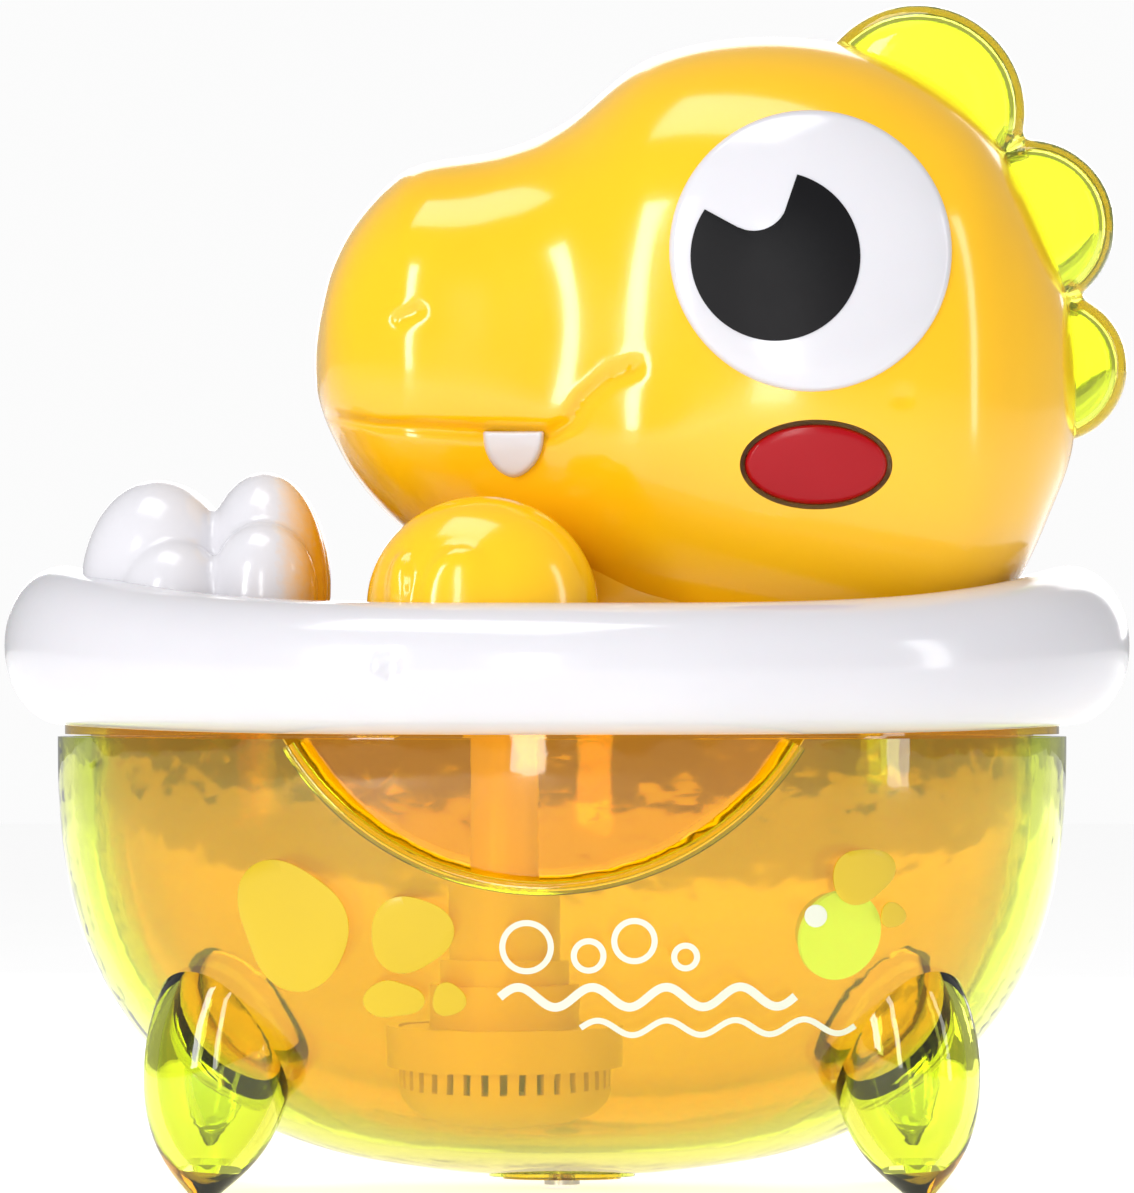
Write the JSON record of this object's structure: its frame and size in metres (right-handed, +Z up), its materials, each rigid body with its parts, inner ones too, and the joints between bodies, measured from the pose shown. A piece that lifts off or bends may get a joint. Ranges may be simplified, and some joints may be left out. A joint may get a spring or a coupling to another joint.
{
  "type": "bubble machine",
  "caption": "Bath foam maker: a yellow dinosaur in a claw-foot tub; a motor in the lift-off top blows foam out of the tub's deck.",
  "frame": {"origin": "middle of the footprint, on the surface the claw feet stand on", "axes": "+Z up, +X towards the back of the head, -Y the left side of the animal"},
  "size_m": [0.1704, 0.1308, 0.1792],
  "materials": {
    "tub_plastic": "clear yellow-green, glossy",
    "tank_plastic": "translucent amber, glossy",
    "white_plastic": "glossy white",
    "yellow_plastic": "glossy warm yellow",
    "stem_plastic": "satin yellow",
    "crest_plastic": "translucent yellow-green, glossy",
    "red_plastic": "glossy deep red",
    "black_ink": "satin black ink",
    "print_ink": "pale ink",
    "soft_silicone": "satin pale silicone",
    "dark_plastic": "satin",
    "steel": "satin",
    "brass": "satin",
    "circuit": "satin green board",
    "net": "fine nylon net"
  },
  "bodies": {
    "tub": {"outer_tub": "tub_plastic", "inner_tank": "tank_plastic", "tank_plug": "soft_silicone", "tank_screw": "steel"},
    "upper_unit": {"rim": "white_plastic", "deck": "white_plastic", "torso": "yellow_plastic", "deck_screws": "steel", "head_left": "yellow_plastic", "head_right": "yellow_plastic", "head_screws": "steel", "eye_left": "white_plastic", "eye_right": "white_plastic", "teeth": "white_plastic", "crest": "crest_plastic", "crest_leds": "white_plastic", "arm_left": "yellow_plastic", "arm_right": "yellow_plastic", "foot_left": "white_plastic", "foot_right": "white_plastic", "switch_board_left": "circuit", "switch_board_right": "circuit", "riser_tube": "stem_plastic", "lower_bush": "brass", "upper_bush": "brass", "blower_housing": "stem_plastic", "motor_mount": "dark_plastic", "motor": "steel", "foam_nozzle": "white_plastic", "foam_mesh": "net", "outlet_ring": "white_plastic", "battery_box": "dark_plastic", "battery_cells": "brass", "battery_contacts": "steel", "hinge_pin": "steel", "main_board": "circuit", "speaker": "dark_plastic"},
    "rotor": {"pump_shaft": "steel", "motor_shaft": "steel", "shaft_coupling": "dark_plastic", "impeller": "stem_plastic", "blower_fan": "stem_plastic"},
    "strainer": {"strainer_cap": "stem_plastic"},
    "battery_hatch": {"battery_door": "white_plastic", "door_gasket": "soft_silicone", "door_screw": "steel"},
    "left_cheek": {"button_left": "red_plastic"},
    "right_cheek": {"button_right": "red_plastic"}
  },
  "joints": [
    {"name": "upper_unit_lift", "type": "slide", "parent": "tub", "child": "upper_unit", "axis": [0, 0, 1], "range_m": [0, 0.09]},
    {"name": "rotor_spin", "type": "hinge", "parent": "upper_unit", "child": "rotor", "pos_m": [-0.0095, 0, 0.05], "axis": [0, 0, 1], "continuous": true},
    {"name": "strainer_twist", "type": "hinge", "parent": "upper_unit", "child": "strainer", "pos_m": [-0.0095, 0, 0.02], "axis": [0, 0, 1], "range_deg": [0, 30]},
    {"name": "battery_door_hinge", "type": "hinge", "parent": "upper_unit", "child": "battery_hatch", "pos_m": [0.0092, 0, 0.0719], "axis": [0, 1, 0], "range_deg": [0, 85]},
    {"name": "left_cheek_press", "type": "slide", "parent": "upper_unit", "child": "left_cheek", "axis": [0, 1, 0], "range_m": [0, 0.0015], "stiffness_N_per_m": 600},
    {"name": "right_cheek_press", "type": "slide", "parent": "upper_unit", "child": "right_cheek", "axis": [0, -1, 0], "range_m": [0, 0.0015], "stiffness_N_per_m": 600}
  ]
}
